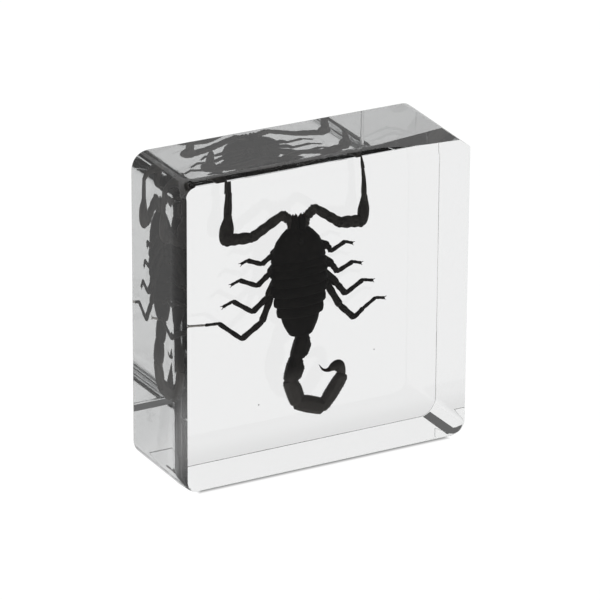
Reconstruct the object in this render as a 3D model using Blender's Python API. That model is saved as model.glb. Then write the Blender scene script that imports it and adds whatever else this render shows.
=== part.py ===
"""A dried scorpion sealed in a clear resin block.

The block stands upright on its narrow bottom face. X runs to the right across the broad front face,
Y runs from the front face to the back, Z runs up. The origin is under the middle of the block.
The scorpion hangs head up in the resin, back turned to the front face, nearer to the back face.
The resin is parted in two halves on the level of the scorpion, so that its pocket is open.
"""

from collections import namedtuple
from math import cos, pi, radians, sin

import bmesh
import bpy
from mathutils import Vector

MM = 0.001

# The clear block
BLOCK_WIDTH = 75.0 * MM
BLOCK_HEIGHT = 75.8 * MM
BLOCK_DEPTH = 25.4 * MM
# Its corners: their radius along the depth, then where they reach the front and the back face, seen from
# the front and from the top right one anticlockwise
CORNER_RADIUS = 4.5 * MM
FRONT_RADII = (1.5 * MM, 1.2 * MM, 2.0 * MM, 2.7 * MM)
BACK_RADII = (2.8 * MM, 2.8 * MM, 2.8 * MM, 4.1 * MM)
CORNER_STEPS = 5
# The rims of both faces, on the right, top, left and bottom: their reach in, and their reach along the side
FRONT_RIM = ((0.5 * MM, 0.5 * MM), (1.5 * MM, 3.6 * MM), (1.4 * MM, 5.0 * MM), (1.3 * MM, 1.3 * MM))
BACK_RIM = ((0.15 * MM, 0.15 * MM), (0.9 * MM, 0.9 * MM), (0.9 * MM, 0.9 * MM), (0.15 * MM, 0.15 * MM))
RIM_STEPS = 4
# The ground facets at the top: three places on each, in mm from the block's middle
FACETS = (
    ((-6.0, -12.7, 37.9), (33.2, -6.7, 37.9), (37.5, -12.7, 36.3)),
    ((32.7, -12.7, 37.9), (34.2, 12.7, 37.9), (37.5, -12.7, 34.4)),
)
PARTING_Y = 5.0 * MM
PARTING_GAP = 0.3 * MM
POCKET_CLEARANCE = 0.35 * MM
RESIN = ((0.95, 0.96, 0.95), 0.02, 1.0, 1.0, 1.55)
SHELL = ((0.012, 0.010, 0.009), 0.4)
SHARP_SHELL = 45
SHARP_RESIN = 30

# The scorpion's trunk, in mm: it hangs almost upright in the block, its tail end a little to the right
HEAD_X = -2.5
RUMP_X = -1.4
BODY_Y = 5.0
TAIL_Y = 4.5
CARAPACE_TOP = 56.2
BACK_SHARE = 0.55

# Half the carapace's width at each distance down from its front edge, and its half depths there
CARAPACE = ((0.0, 2.9), (1.0, 4.0), (2.8, 5.6), (5.2, 6.7), (7.7, 7.1))
CARAPACE_DEPTHS = (1.6, 2.3, 3.0, 3.4, 3.6)
# Each of the seven back plates: its length, and half its width at its rear edge, with the half depths
BACK_PLATES = ((1.6, 7.0), (2.0, 7.15), (2.4, 7.1), (2.5, 6.8), (2.6, 6.3), (2.7, 5.5), (5.2, 2.4))
PLATE_DEPTHS = (3.7, 3.8, 3.8, 3.8, 3.6, 3.2, 1.9)
PLATE_STEP = 0.35
TRUNK_SIDES = 16
POCKET_TRUNK_SIDES = 12
# A pocket's round forms have so many sides fewer, but never fewer than the least
FEWER_SIDES = 3
LEAST_SIDES = 5

# One tail segment: its length, heading in degrees, half its height at the ends, its reach to the
# curl's inner and outer side, and half its width. The tail lies on its side
TailSegment = namedtuple("TailSegment", "length heading end inner outer half_width")
TAIL_ROOT = (-1.1, 29.6)
TAIL = (
    TailSegment(5.8, -108, 1.40, 3.00, 1.60, 2.0),
    TailSegment(5.8, -106, 1.40, 2.95, 1.75, 2.0),
    TailSegment(6.2, -70, 1.65, 2.25, 1.80, 1.9),
    TailSegment(7.2, -20, 1.75, 2.15, 2.00, 1.8),
    TailSegment(8.9, 54, 1.35, 1.75, 1.80, 1.7),
)
TAIL_SIDES = 10
# A segment's width where it is least full, what fullness adds, and how its closed ends draw in
TAIL_WIDTHS = (0.82, 0.18)
TAIL_END_HEIGHT = 0.8
TAIL_END_WIDTH = 0.9
# How full a tail segment is at each share of its length, from the drawn-in ends to its belly
TAIL_FULLNESS = ((-0.08, 0.0), (0.10, 0.45), (0.40, 1.0), (0.75, 0.9), (0.98, 0.3), (1.04, 0.0))
# The sting's bulb and point: where each cross-section lies, in mm, and its radius
STING_STEPS = (
    (9.4, 17.3, 0.85),
    (9.3, 18.4, 1.10),
    (8.5, 19.8, 1.50),
    (7.3, 19.9, 1.20),
    (6.2, 19.4, 0.70),
    (5.2, 19.3, 0.42),
    (4.2, 19.8, 0.26),
    (3.3, 21.1, 0.06),
)
STING_SIDES = 8

# Every limb segment: how it narrows at its ends, how far it laps into the next, and where it is thickest
SEGMENT_TAPER = 0.72
SEGMENT_LAP = 0.45
SEGMENT_THICKEST = 0.35

# A limb starts at a root (X, Y, Z). Each run is one segment: its length, its heading in degrees, its
# step towards the back face and its radius
Run = namedtuple("Run", "length heading step radius")
PINCER_SIDES = 8
PINCER_TAPER = 0.8
LEFT_PINCER_ROOT = (-3.9, 4.8, 56.2)
LEFT_PINCER = (
    Run(2.3, 104, 0.0, 0.95),
    Run(2.5, 142, 0.2, 1.10),
    Run(8.6, -150, 1.0, 1.12),
    Run(6.4, 179, 1.6, 1.30),
)
RIGHT_PINCER_ROOT = (-0.5, 4.8, 56.2)
RIGHT_PINCER = (
    Run(2.4, 82, 0.0, 0.95),
    Run(2.8, 36, 0.2, 1.15),
    Run(8.4, -36, 1.0, 1.05),
    Run(6.7, -9, 1.6, 1.35),
)
# The hand, the half gap between its fingers (X, Y), then its fixed and movable fingers, which bend once
LEFT_HAND = Run(6.0, 83, 0.2, 1.75)
RIGHT_HAND = Run(6.1, 86, 0.2, 1.45)
LEFT_FINGER_GAP = (0.32, 0.0)
RIGHT_FINGER_GAP = (0.1, 0.5)
LEFT_FINGERS = (
    (Run(5.2, 87, 0.0, 0.66), Run(5.4, 87, 0.0, 0.56)),
    (Run(5.0, 87, 0.0, 0.62), Run(5.2, 89, 0.0, 0.52)),
)
RIGHT_FINGERS = (
    (Run(5.0, 91, -0.2, 0.58), Run(5.4, 97, 0.3, 0.45)),
    (Run(5.0, 91, 0.2, 0.52), Run(5.2, 95, -0.3, 0.40)),
)
FINGER_SIDES = 6
FINGER_TIP = 0.12
# A hand: where it is thickest and where its fingers start, along its length, then how narrow its ends are
HAND_THICKEST = 0.42
FINGER_START = 0.85
HAND_ENDS = (0.5, 0.6)

# Legs: a root under the carapace, the knee at the trunk's side, then the visible segments
Leg = namedtuple("Leg", "root knee runs")
LEG_ROOT_Y = 7.4
LEG_KNEE_Y = 5.8
LEG_SIDES = 6
HIP_RADIUS = 1.25
THIGH_RADIUS = 0.95
THIGH_ROOM = 0.6
HIP_INNER_X = 0.9
HIP_DROP = 1.0
LEGS = (
    Leg(
        (-5.2, 52.6),
        (-8.7, 50.4),
        (Run(3.2, -147, 0.0, 0.66), Run(3.9, 158, 0.6, 0.56), Run(1.5, -150, 0.8, 0.36)),
    ),
    Leg(
        (-5.4, 50.4),
        (-9.4, 46.0),
        (Run(4.0, -142, 0.0, 0.70), Run(4.9, 155, 0.6, 0.56), Run(2.1, -153, 0.8, 0.36)),
    ),
    Leg(
        (-5.4, 48.2),
        (-9.8, 40.3),
        (Run(5.0, -143, 0.0, 0.76), Run(6.0, 145, 0.6, 0.58), Run(2.6, -155, 0.8, 0.38)),
    ),
    Leg(
        (-5.2, 46.0),
        (-9.0, 40.2),
        (
            Run(6.3, -112, 0.0, 0.86),
            Run(6.1, -146, 0.6, 0.76),
            Run(7.6, 140, 0.4, 0.56),
            Run(3.5, 176, 0.1, 0.36),
            Run(4.3, 173, 0.1, 0.27),
        ),
    ),
    Leg(
        (0.8, 52.6),
        (5.9, 50.0),
        (Run(1.6, -62, 0.0, 0.66), Run(4.2, 22, 0.6, 0.54), Run(2.4, -23, 0.8, 0.36)),
    ),
    Leg(
        (1.0, 50.4),
        (7.0, 45.2),
        (Run(2.4, -56, 0.0, 0.70), Run(4.6, 20, 0.6, 0.56), Run(2.6, -21, 0.8, 0.36)),
    ),
    Leg(
        (1.0, 48.2),
        (8.3, 40.2),
        (Run(3.7, -52, 0.0, 0.76), Run(5.4, 27, 0.6, 0.58), Run(3.0, -16, 0.8, 0.38)),
    ),
    Leg(
        (0.8, 46.0),
        (5.7, 40.6),
        (
            Run(6.9, -60, 0.0, 0.86),
            Run(5.6, -45, 0.6, 0.76),
            Run(3.1, 36, 0.3, 0.58),
            Run(3.9, 31, 0.1, 0.46),
            Run(2.4, -12, 0.1, 0.36),
        ),
    ),
)
CLAW_LENGTH = 0.9
CLAW_RADIUS = 0.16
CLAW_SPREAD = 28
CLAW_TIP = 0.05
CLAW_SIDES = 4
CLAW_STEP = 0.15
# The two claws start a little to each side of the leg's end
CLAW_OFFSET = 0.12
CLAW_OFFSET_TURN = 110
CLAW_POCKET = (0.45, 0.35)

# The jaws, the eye hump, and the pair of combs on the belly
JAW_ROOT_Y = 4.6
JAW_ROOT_Z = 55.4
JAW_LENGTH = 4.4
JAW_LEAN = 0.15
JAW_THICKEST = 0.6
JAW_RADIUS = 1.15
JAW_TIP = 0.6
JAW_FLATNESS = 1.2
JAW_SPACING = 1.05
JAW_SIDES = 8
EYE_HUMP_DROP = 3.0
EYE_HUMP_OUT = 2.55
EYE_HUMP_LENGTH = 1.0
EYE_HUMP_RADII = (0.35, 0.75, 0.3)
EYE_HUMP_SIDES = 8
# A comb's arm starts beside the belly's middle and runs out and down; its teeth hang from it
COMB_ROOT_Z = 46.5
COMB_ROOT_X = 0.6
COMB_ROOT_Y = 3.3
COMB_REACH = (4.8, -0.5, -3.6)
COMB_RADII = (0.45, 0.45, 0.25)
COMB_POCKET = (0.9, 0.7)
COMB_SIDES = 6
COMB_TEETH = 9
COMB_TOOTH = (0.35, 0.1, 1.1)
COMB_TOOTH_RADII = (0.2, 0.12)
COMB_TOOTH_SIDES = 4


def clear_scene():
    for obj in list(bpy.data.objects):
        bpy.data.objects.remove(obj, do_unlink=True)


def at(x, y, z):
    """A place given in millimetres."""
    return Vector((x, y, z)) * MM


def axis_point(z):
    """The middle of the trunk at a height."""
    share = (CARAPACE_TOP - z) / (CARAPACE_TOP - TAIL_ROOT[1])
    return at(HEAD_X + share * (RUMP_X - HEAD_X), BODY_Y, z)


def stepped(start, run):
    """The place that a limb's segment reaches."""
    angle = radians(run.heading)
    return start + at(run.length * cos(angle), run.step, run.length * sin(angle))


def add_loft(bm, rings):
    """A closed skin through rings of points, each ring with as many points as the next."""
    rows = [[bm.verts.new(point) for point in ring] for ring in rings]
    faces = []
    count = len(rows[0])
    for lower, upper in zip(rows, rows[1:]):
        for i in range(count):
            j = (i + 1) % count
            faces.append(bm.faces.new((lower[i], lower[j], upper[j], upper[i])))
    faces.append(bm.faces.new(rows[0][::-1]))
    faces.append(bm.faces.new(rows[-1]))
    bmesh.ops.recalc_face_normals(bm, faces=faces)


def cross_section(centre, direction, inner, outer, half_depth, sides):
    """An oval across a limb: inner and outer are its reach to the left and right of its heading."""
    ahead = direction.normalized()
    deep = (Vector((0, 1, 0)) - ahead * ahead.y).normalized()
    across = ahead.cross(deep)
    ring = []
    for i in range(sides):
        turn = 2 * pi * (i + 0.5) / sides
        reach = inner if cos(turn) > 0 else outer
        ring.append(centre + across * (reach * cos(turn)) + deep * (half_depth * sin(turn)))
    return ring


class Shape:
    """Gathers the scorpion's overlapping forms. A pocket's forms are plainer and swelled all round."""

    def __init__(self, grow=0.0, pocket=False):
        self.bm = bmesh.new()
        self.grow = grow
        self.pocket = pocket

    def sides(self, wanted):
        return max(LEAST_SIDES, wanted - FEWER_SIDES) if self.pocket else wanted

    def swelled(self, radius, sides):
        """The radius whose flat sides clear a round form of the given one."""
        return (radius + self.grow) / (cos(pi / sides) if self.pocket else 1.0)

    def tube(self, points, radii, sides, flatness=1.0):
        """A round form along a few points, with a half-width at each."""
        sides = self.sides(sides)
        rings = []
        for i, (point, radius) in enumerate(zip(points, radii)):
            before = points[max(i - 1, 0)]
            after = points[min(i + 1, len(points) - 1)]
            direction = after - before
            wide = self.swelled(radius * MM, sides)
            deep = self.swelled(radius * flatness * MM, sides)
            end = -1 if i == 0 else 1 if i == len(points) - 1 else 0
            centre = point + direction.normalized() * (self.grow * end)
            rings.append(cross_section(centre, direction, wide, wide, deep, sides))
        add_loft(self.bm, rings)

    def segment(self, start, end, radius, sides, taper=SEGMENT_TAPER):
        """One limb segment, thickest before its middle and drawn in at its joints."""
        lap = (end - start).normalized() * (SEGMENT_LAP * radius * MM)
        if self.pocket:
            self.tube((start - lap, end + lap), (radius, radius), sides)
            return
        thickest = start.lerp(end, SEGMENT_THICKEST)
        ends = taper * radius
        self.tube((start - lap, thickest, end + lap), (ends, radius, ends), sides)

    def oval(self, z, half_width, half_depth, sides):
        """A level cross-section of the trunk: flatter on the belly, arched on the back."""
        middle = axis_point(z)
        ring = []
        wide = self.swelled(half_width * MM, sides)
        deep = self.swelled(half_depth * MM, sides)
        for i in range(sides):
            turn = 2 * pi * (i + 0.5) / sides
            share = 2 * (BACK_SHARE if sin(turn) < 0 else 1 - BACK_SHARE)
            offset = Vector((wide * cos(turn), deep * share * sin(turn), 0))
            ring.append(middle + offset)
        return ring


def add_trunk(shape):
    sides = POCKET_TRUNK_SIDES if shape.pocket else TRUNK_SIDES
    rings = []
    for (drop, half_width), half_depth in zip(CARAPACE, CARAPACE_DEPTHS):
        rings.append(shape.oval(CARAPACE_TOP - drop, half_width, half_depth, sides))
    z = CARAPACE_TOP - CARAPACE[-1][0]
    for (length, half_width), half_depth in zip(BACK_PLATES, PLATE_DEPTHS):
        if not shape.pocket:
            before = rings[-1]
            centre = axis_point(z)
            drawn_in = 1 - PLATE_STEP / half_width
            rings.append([centre + (point - centre) * drawn_in for point in before])
        z -= length
        rings.append(shape.oval(z, half_width, half_depth, sides))
    shift = Vector((0, 0, shape.grow))
    rings[0] = [point + shift for point in rings[0]]
    rings[-1] = [point - shift for point in rings[-1]]
    add_loft(shape.bm, rings)


def add_jaws(shape):
    for side in (-1, 1):
        root = at(HEAD_X + side * JAW_SPACING, JAW_ROOT_Y, JAW_ROOT_Z)
        tip = root + at(-JAW_LEAN * side, 0.0, JAW_LENGTH)
        thickest = root.lerp(tip, JAW_THICKEST)
        shape.tube((root, thickest, tip), (JAW_RADIUS, JAW_RADIUS, JAW_TIP), JAW_SIDES, JAW_FLATNESS)


def add_eye_hump(shape):
    if shape.pocket:
        return
    middle = axis_point(CARAPACE_TOP - EYE_HUMP_DROP) - at(0, EYE_HUMP_OUT, 0)
    length = at(0, 0, EYE_HUMP_LENGTH)
    shape.tube((middle + length, middle, middle - length), EYE_HUMP_RADII, EYE_HUMP_SIDES)


def add_combs(shape):
    """The two toothed combs that lie on the belly behind the last legs."""
    reach_x, reach_y, reach_z = COMB_REACH
    lean, back, length = COMB_TOOTH
    for side in (-1, 1):
        root = axis_point(COMB_ROOT_Z) + at(side * COMB_ROOT_X, COMB_ROOT_Y, 0)
        tip = root + at(side * reach_x, reach_y, reach_z)
        if shape.pocket:
            below = at(0, 0, -length / 2)
            shape.tube((root + below, tip + below), COMB_POCKET, COMB_SIDES)
            continue
        shape.tube((root, root.lerp(tip, 0.5), tip), COMB_RADII, COMB_SIDES)
        for i in range(COMB_TEETH):
            start = root.lerp(tip, (i + 1) / (COMB_TEETH + 1))
            end = start + at(-side * lean, back, -length)
            shape.tube((start, end), COMB_TOOTH_RADII, COMB_TOOTH_SIDES)


def add_tail(shape):
    sides = shape.sides(TAIL_SIDES)
    start = at(TAIL_ROOT[0], TAIL_Y, TAIL_ROOT[1])
    for part in TAIL:
        end = stepped(start, Run(part.length, part.heading, 0.0, part.end))
        direction = end - start
        rings = []
        for share, fullness in TAIL_FULLNESS:
            inner = part.end + (part.inner - part.end) * fullness
            outer = part.end + (part.outer - part.end) * fullness
            half_width = part.half_width * (TAIL_WIDTHS[0] + TAIL_WIDTHS[1] * fullness)
            if fullness == 0.0:
                inner *= TAIL_END_HEIGHT
                outer *= TAIL_END_HEIGHT
                half_width *= TAIL_END_WIDTH
            sizes = [shape.swelled(size * MM, sides) for size in (inner, outer, half_width)]
            rings.append(cross_section(start + direction * share, direction, *sizes, sides))
        add_loft(shape.bm, rings)
        start = end


def add_sting(shape):
    points = [at(x, TAIL_Y, z) for x, z, _ in STING_STEPS]
    radii = [radius for _, _, radius in STING_STEPS]
    shape.tube(points, radii, STING_SIDES)


def add_pincer(shape, root, runs, hand, fingers, finger_gap):
    start = at(*root)
    for run in runs:
        end = stepped(start, run)
        shape.segment(start, end, run.radius, PINCER_SIDES, PINCER_TAPER)
        start = end
    wrist = stepped(start, hand)
    palm = start.lerp(wrist, HAND_THICKEST)
    radii = (HAND_ENDS[0] * hand.radius, hand.radius, HAND_ENDS[1] * hand.radius)
    shape.tube((start, palm, wrist), radii, PINCER_SIDES)
    for side, finger in zip((-1, 1), fingers):
        base = start.lerp(wrist, FINGER_START) + at(side * finger_gap[0], side * finger_gap[1], 0)
        bend = stepped(base, finger[0])
        tip = stepped(bend, finger[1])
        shape.tube((base, bend, tip), (finger[0].radius, finger[1].radius, FINGER_TIP), FINGER_SIDES)


def add_leg(shape, leg):
    side = 1 if leg.knee[0] > RUMP_X else -1
    root = at(leg.root[0], LEG_ROOT_Y, leg.root[1])
    knee = at(leg.knee[0], LEG_KNEE_Y, leg.knee[1])
    middle = at(HEAD_X + side * HIP_INNER_X, LEG_ROOT_Y, leg.root[1] - HIP_DROP)
    shape.segment(middle, root, HIP_RADIUS, LEG_SIDES)
    shape.segment(root, knee, THIGH_RADIUS + (THIGH_ROOM if shape.pocket else 0), LEG_SIDES)
    start = knee
    for run in leg.runs:
        end = stepped(start, run)
        shape.segment(start, end, run.radius, LEG_SIDES)
        start = end
    heading = leg.runs[-1].heading
    if shape.pocket:
        tip = stepped(start, Run(CLAW_LENGTH, heading, CLAW_STEP, 0))
        shape.tube((start, tip), CLAW_POCKET, LEG_SIDES)
        return
    for side in (-1, 1):
        base = stepped(start, Run(CLAW_OFFSET, heading + side * CLAW_OFFSET_TURN, 0, 0))
        tip = stepped(base, Run(CLAW_LENGTH, heading + side * CLAW_SPREAD, CLAW_STEP, 0))
        shape.tube((base, tip), (CLAW_RADIUS, CLAW_TIP), CLAW_SIDES)


def add_limbs_and_tail(shape):
    add_jaws(shape)
    add_eye_hump(shape)
    add_combs(shape)
    add_tail(shape)
    add_sting(shape)
    add_pincer(shape, LEFT_PINCER_ROOT, LEFT_PINCER, LEFT_HAND, LEFT_FINGERS, LEFT_FINGER_GAP)
    add_pincer(shape, RIGHT_PINCER_ROOT, RIGHT_PINCER, RIGHT_HAND, RIGHT_FINGERS, RIGHT_FINGER_GAP)
    for leg in LEGS:
        add_leg(shape, leg)


def mesh_object(name, bm):
    mesh = bpy.data.meshes.new(name)
    bm.to_mesh(mesh)
    bm.free()
    obj = bpy.data.objects.new(name, mesh)
    bpy.context.scene.collection.objects.link(obj)
    return obj


def as_guide(obj):
    obj.hide_render = True
    obj.display_type = "WIRE"
    return obj


def add_boolean(obj, other, operation, own_overlaps=False):
    cut = obj.modifiers.new(operation.title(), "BOOLEAN")
    cut.object = other
    cut.operation = operation
    cut.solver = "EXACT"
    cut.use_self = own_overlaps


def fused(name, grow=0.0, pocket=False):
    """The scorpion's trunk and limbs as one closed form."""
    limbs = Shape(grow, pocket)
    add_limbs_and_tail(limbs)
    trunk = Shape(grow, pocket)
    add_trunk(trunk)
    obj = mesh_object(name, limbs.bm)
    add_boolean(obj, as_guide(mesh_object(name + "_trunk", trunk.bm)), "UNION", own_overlaps=True)
    return obj


def rounded_outline(half_width, half_height, radii):
    """Points round a rectangle, about its middle: each corner is an arc with a radius of its own."""
    points = []
    corners = ((1, 1, 0), (-1, 1, 90), (-1, -1, 180), (1, -1, 270))
    for (side_x, side_z, first), radius in zip(corners, radii):
        for i in range(CORNER_STEPS + 1):
            turn = radians(first + 90 * i / CORNER_STEPS)
            x = side_x * (half_width - radius) + radius * cos(turn)
            z = side_z * (half_height - radius) + radius * sin(turn)
            points.append((x, z))
    return points


def rim_inset(level, reach, depth):
    """How far a rim has drawn in at a level below the face: an arc that runs smoothly into the side."""
    if level >= depth:
        return 0.0
    radius = (reach**2 + depth**2) / (2 * reach)
    return radius - max(radius**2 - (depth - level) ** 2, 0.0) ** 0.5


def block_half(name, rim, face_radii, outer_y, parting_y):
    """One half of the block: a rounded slab with its outer rim rolled over and its top facets ground."""
    inwards = 1 if parting_y > outer_y else -1
    deepest = max(depth for _, depth in rim)
    whole = sum(reach for reach, _ in rim)
    levels = [deepest * (1 - cos(radians(90 * i / RIM_STEPS))) for i in range(RIM_STEPS + 1)]
    loops = []
    for level in (*levels, abs(parting_y - outer_y)):
        insets = [rim_inset(level, *sizes) for sizes in rim]
        right, top, left, bottom = insets
        share = sum(insets) / whole
        radii = [CORNER_RADIUS + share * (radius - CORNER_RADIUS) for radius in face_radii]
        half_width = (BLOCK_WIDTH - left - right) / 2
        half_height = (BLOCK_HEIGHT - top - bottom) / 2
        y = outer_y + inwards * level
        middle = Vector(((left - right) / 2, y, (BLOCK_HEIGHT + bottom - top) / 2))
        outline = rounded_outline(half_width, half_height, radii)
        loops.append([middle + Vector((x, 0, z)) for x, z in outline])
    bm = bmesh.new()
    add_loft(bm, loops)
    for facet in FACETS:
        cut_facet(bm, facet)
    return mesh_object(name, bm)


def cut_facet(bm, facet):
    """Grinds a flat facet through three places, away from the block's middle."""
    start, along, down = (at(*place) + Vector((0, 0, BLOCK_HEIGHT / 2)) for place in facet)
    normal = (along - start).cross(down - start).normalized()
    if normal.z < 0:
        normal = -normal
    parts = bm.verts[:] + bm.edges[:] + bm.faces[:]
    bmesh.ops.bisect_plane(bm, geom=parts, plane_co=start, plane_no=normal, clear_outer=True)
    rim = [edge for edge in bm.edges if edge.is_boundary]
    if rim:
        bmesh.ops.contextual_create(bm, geom=rim)
        bmesh.ops.recalc_face_normals(bm, faces=bm.faces[:])


def material(name, colour, roughness, alpha=1.0, transmission=0.0, ior=1.5):
    made = bpy.data.materials.new(name)
    made.use_nodes = True
    shader = made.node_tree.nodes["Principled BSDF"]
    shader.inputs["Base Color"].default_value = (*colour, 1.0)
    shader.inputs["Roughness"].default_value = roughness
    shader.inputs["Metallic"].default_value = 0.0
    shader.inputs["Alpha"].default_value = alpha
    shader.inputs["Transmission Weight"].default_value = transmission
    shader.inputs["IOR"].default_value = ior
    return made


def shade_round(obj, sharp_degrees):
    obj.data.shade_smooth()
    obj.data.set_sharp_from_angle(angle=radians(sharp_degrees))


def main():
    clear_scene()
    scorpion = fused("scorpion")
    scorpion.data.materials.append(material("dark_shell", *SHELL))
    pocket = as_guide(fused("pocket", POCKET_CLEARANCE, pocket=True))
    halves = (
        block_half("resin_front", FRONT_RIM, FRONT_RADII, -BLOCK_DEPTH / 2, PARTING_Y - PARTING_GAP / 2),
        block_half("resin_back", BACK_RIM, BACK_RADII, BLOCK_DEPTH / 2, PARTING_Y + PARTING_GAP / 2),
    )
    for half in halves:
        half.data.materials.append(material(half.name, *RESIN))
        add_boolean(half, pocket, "DIFFERENCE", own_overlaps=True)
        shade_round(half, SHARP_RESIN)
    shade_round(scorpion, SHARP_SHELL)


main()
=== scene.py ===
"""The looks of a dried scorpion sealed in a clear resin block.

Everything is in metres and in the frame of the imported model: X runs to the right across the broad front
face, Y from the front face to the back, Z up, with the origin under the middle of the block. The
scorpion's numbers are in millimetres and degrees: a heading of 0 points right, and one of 90 points up.
"""

from collections import namedtuple
from math import cos, degrees, exp, pi, radians, sin

import bmesh
import bpy
from mathutils import Matrix, Vector


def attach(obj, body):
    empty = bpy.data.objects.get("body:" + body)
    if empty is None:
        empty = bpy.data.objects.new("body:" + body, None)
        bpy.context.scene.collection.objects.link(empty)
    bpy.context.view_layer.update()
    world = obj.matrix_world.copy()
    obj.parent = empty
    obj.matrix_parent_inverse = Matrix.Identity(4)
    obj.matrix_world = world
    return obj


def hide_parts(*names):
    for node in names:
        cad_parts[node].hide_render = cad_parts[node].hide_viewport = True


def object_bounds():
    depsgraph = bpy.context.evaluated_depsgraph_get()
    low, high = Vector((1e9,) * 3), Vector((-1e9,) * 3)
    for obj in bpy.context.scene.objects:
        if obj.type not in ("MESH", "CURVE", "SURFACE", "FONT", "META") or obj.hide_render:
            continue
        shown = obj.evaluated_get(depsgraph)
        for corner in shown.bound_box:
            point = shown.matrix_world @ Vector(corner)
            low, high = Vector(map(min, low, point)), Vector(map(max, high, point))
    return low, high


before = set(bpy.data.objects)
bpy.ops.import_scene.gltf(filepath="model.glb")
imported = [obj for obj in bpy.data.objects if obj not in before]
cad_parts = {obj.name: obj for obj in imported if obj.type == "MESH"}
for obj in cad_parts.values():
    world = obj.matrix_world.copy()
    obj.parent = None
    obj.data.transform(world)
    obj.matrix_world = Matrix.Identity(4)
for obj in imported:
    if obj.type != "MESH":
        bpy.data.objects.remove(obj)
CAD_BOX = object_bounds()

bl_info = {
    "name": "Scorpion in Resin",
    "version": (1, 0, 0),
    "blender": (4, 5, 0),
    "location": "3D View > Sidebar > Specimen",
    "description": "Builds a dried scorpion sealed in a clear, polished resin block",
    "category": "Object",
}

MM = 0.001
BLOCK_SIZE = CAD_BOX[1] - CAD_BOX[0]
BLOCK_MIDDLE = (CAD_BOX[0] + CAD_BOX[1]) / 2

# The block's corners along its depth, then where they reach the front and the back face, from the top
# right one anticlockwise
CORNER_RADIUS = 4.5 * MM
FRONT_RADII = (1.5 * MM, 1.2 * MM, 2.0 * MM, 2.7 * MM)
BACK_RADII = (2.8 * MM, 2.8 * MM, 2.8 * MM, 4.1 * MM)
# Each rim's rounding on the right, top, left and bottom: how far it reaches in, and how far back along
# the side
FRONT_RIM = ((0.5 * MM, 0.5 * MM), (1.5 * MM, 3.6 * MM), (1.4 * MM, 5.0 * MM), (1.3 * MM, 1.3 * MM))
BACK_RIM = ((0.15 * MM, 0.15 * MM), (0.9 * MM, 0.9 * MM), (0.9 * MM, 0.9 * MM), (0.15 * MM, 0.15 * MM))
# The ground facets on the top: three places on each, in mm from the block's middle
FACETS = (
    ((-6.0, -12.7, 37.9), (33.2, -6.7, 37.9), (37.5, -12.7, 36.3)),
    ((32.7, -12.7, 37.9), (34.2, 12.7, 37.9), (37.5, -12.7, 34.4)),
    ((0.0, -12.7, 34.2), (30.0, -12.7, 34.2), (0.0, -12.4, 35.8)),
)
# An edge that turns by more than this stays sharp
SHARP_DEGREES = 5.0

# The white paper: where its upright part stands, how it bends up, and how dark its painted shade is right
# under the block
SWEEP_Y = 1.6
SWEEP_RADIUS = 0.5
SWEEP_STEPS = 24
SHADE_REACH = 0.012
SHADE_GLOW = 0.9
# A painted contact shadow: the thin dark line where the block's rounded bottom edge meets the paper
CONTACT_FROM = -1.2 * MM
CONTACT_TO = 0.5 * MM
CONTACT_GLOW = 0.1
# A film of air between the paper and the block, which lets the block's bottom mirror what is inside it
AIR_GAP = 0.05 * MM
# The block's outside mirrors the paper in front of it less than the paper behind it: a painted reflection, as
# that paper is painted darker only where the block's outside mirrors it
MIRRORED_FRONT = 0.15
MIRRORED_FROM = -0.04
MIRRORED_TO = 0.02
# A painted pool of light on the paper at the block's left, standing for light that the block gathers there:
# where, how far it reaches and how bright it is
POOL_PLACE = (-0.070, -0.010)
POOL_REACH = 0.045
POOL_GLOW = 3.0
# The pale ceiling behind the block: how bright it is, and between which heights, in degrees, it ends
CEILING_GLOW = 1.1
CEILING_FROM = 44.0
CEILING_TO = 52.0
# The two softboxes: where they hang, how wide they are, and the second one's share of the power
KEY_PLACE = (-1.2, -0.4, 1.6)
FILL_PLACE = (1.4, 0.3, 1.3)
SOFTBOX_SIZE = 0.8
FILL_SHARE = 0.6
# The camera: its place in metres, its turn, its tilt and roll in degrees, its lens and what it can see
CAMERA_PLACE = (-0.4702, -0.8560, 0.4368)
CAMERA_TURN = -28.7709
CAMERA_TILT = 22.2703
CAMERA_ROLL = 0.3759
CAMERA_LENS = 273.6
CAMERA_SENSOR = 36.0
CAMERA_NEAREST = 0.05
CAMERA_FARTHEST = 50.0

# The trunk hangs almost upright in the block, its tail end a little to the right. The share of its depth
# that lies on the back's side makes it rounder there than on the belly
HEAD_X = -2.5
RUMP_X = -1.4
BODY_Y = 5.0
TAIL_Y = 4.5
CARAPACE_TOP = 56.2
TAIL_ROOT = (-1.1, 29.6)
BACK_SHARE = 0.55
TRUNK_SIDES = 72
# The trunk's cross-sections from the front edge down: the drop, then half the width and half the depth
CARAPACE = (
    (-0.1, 2.3, 1.2),
    (0.0, 2.9, 1.6),
    (1.0, 4.0, 2.3),
    (2.8, 5.6, 3.0),
    (5.2, 6.7, 3.4),
    (7.4, 7.1, 3.6),
    (7.7, 7.05, 3.55),
)
CARAPACE_STEPS = 3
# Each of the seven back plates: its length, then half the width and half the depth at its rear edge
BACK_PLATES = (
    (1.6, 7.0, 3.7),
    (2.0, 7.15, 3.8),
    (2.4, 7.1, 3.8),
    (2.5, 6.8, 3.8),
    (2.6, 6.3, 3.6),
    (2.7, 5.5, 3.2),
    (5.2, 2.4, 1.9),
)
# A back plate along its length: how much of the new width it has reached, and how far its rim stands out
PLATE_SHAPE = (
    (0.0, 0.0, -0.45),
    (0.07, 0.08, -0.30),
    (0.25, 0.25, 0.02),
    (0.50, 0.48, 0.24),
    (0.75, 0.74, 0.34),
    (0.90, 0.90, 0.36),
    (0.97, 0.98, 0.26),
    (1.0, 1.0, -0.10),
)
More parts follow.
